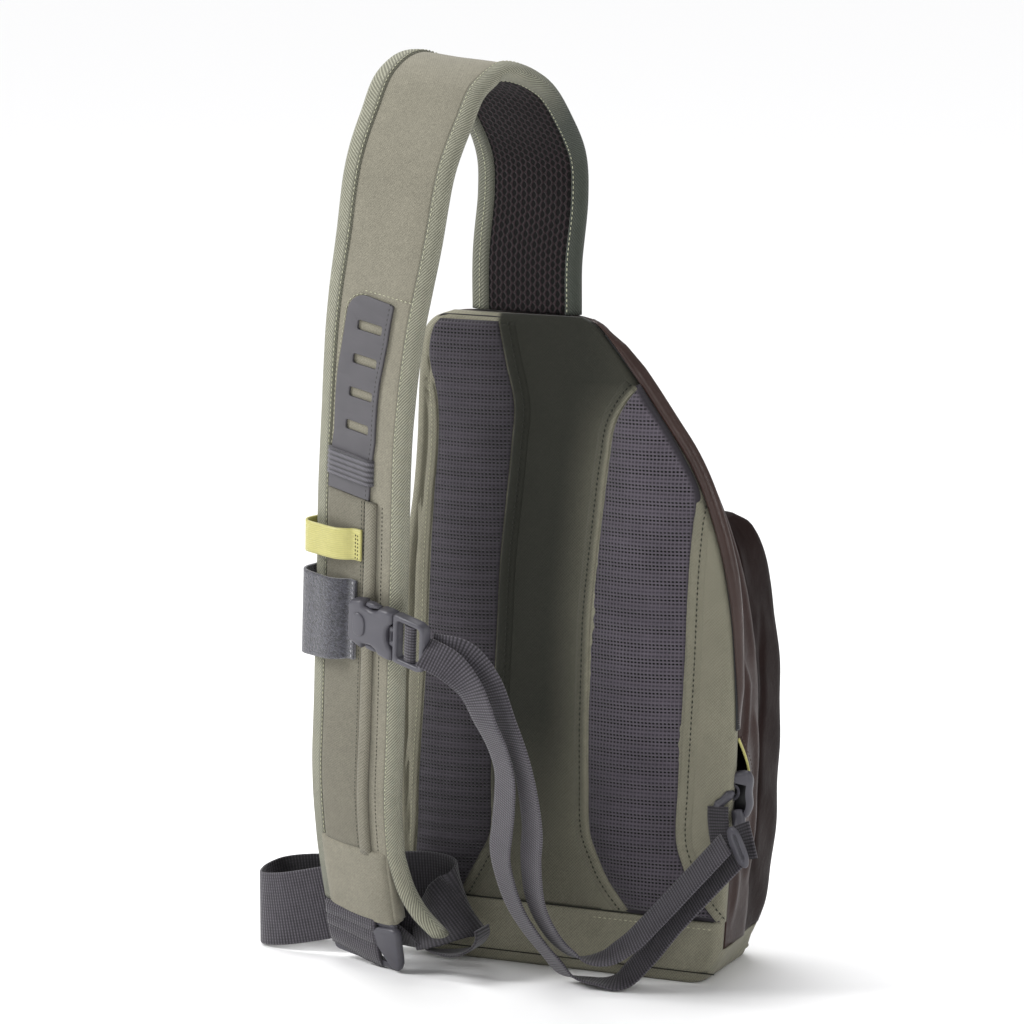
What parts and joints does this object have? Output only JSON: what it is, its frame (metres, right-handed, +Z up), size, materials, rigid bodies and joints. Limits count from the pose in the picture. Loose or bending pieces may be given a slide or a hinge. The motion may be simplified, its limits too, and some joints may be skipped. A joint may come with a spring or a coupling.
{
  "type": "fishing tackle sling bag",
  "caption": "Sling pack with one wide shoulder strap, mesh back pads, front pocket, side opening and webbing straps, standing on its base.",
  "frame": {"origin": "middle of the pack's flat base, on the surface it stands on", "axes": "+Z up, -Y towards the wearer's back, +X to the right seen from the wearer's side"},
  "size_m": [0.3543, 0.2667, 0.6179],
  "materials": {
    "olive_cloth": "woven, matt",
    "khaki_cloth": "woven, matt",
    "binding": "herringbone woven, matt",
    "spacer_mesh": "open mesh over foam, matt",
    "strap_mesh": "open mesh, matt",
    "coated_cloth": "coated, satin",
    "slate_panel": "smooth, matt",
    "pile": "short pile",
    "lime_webbing": "ribbed webbing",
    "webbing": "ribbed webbing",
    "plastic": "moulded, matt",
    "zip": "closed coil zip"
  },
  "bodies": {
    "root": {"back_panel": "olive_cloth", "mesh_pad_left": "spacer_mesh", "mesh_pad_right": "spacer_mesh", "base_tray": "olive_cloth", "main_shell": "coated_cloth", "front_pocket": "coated_cloth", "opening_trim": "lime_webbing", "main_zip": "zip", "shell_roll": "coated_cloth", "strap_pad": "khaki_cloth", "strap_lining": "strap_mesh", "strap_binding_left": "binding", "strap_binding_right": "binding", "strap_pocket": "khaki_cloth", "pocket_fold": "khaki_cloth", "tool_dock": "slate_panel", "dock_elastic": "webbing", "loop_tab": "lime_webbing", "pile_patch": "pile", "strap_buckle_female": "plastic", "strap_buckle_male": "plastic", "side_buckle": "plastic", "narrow_webbing_near": "webbing", "narrow_webbing_far": "webbing", "side_glide": "plastic", "waist_webbing": "webbing", "strap_end_webbing": "webbing", "ladder_lock": "plastic"}
  },
  "joints": []
}
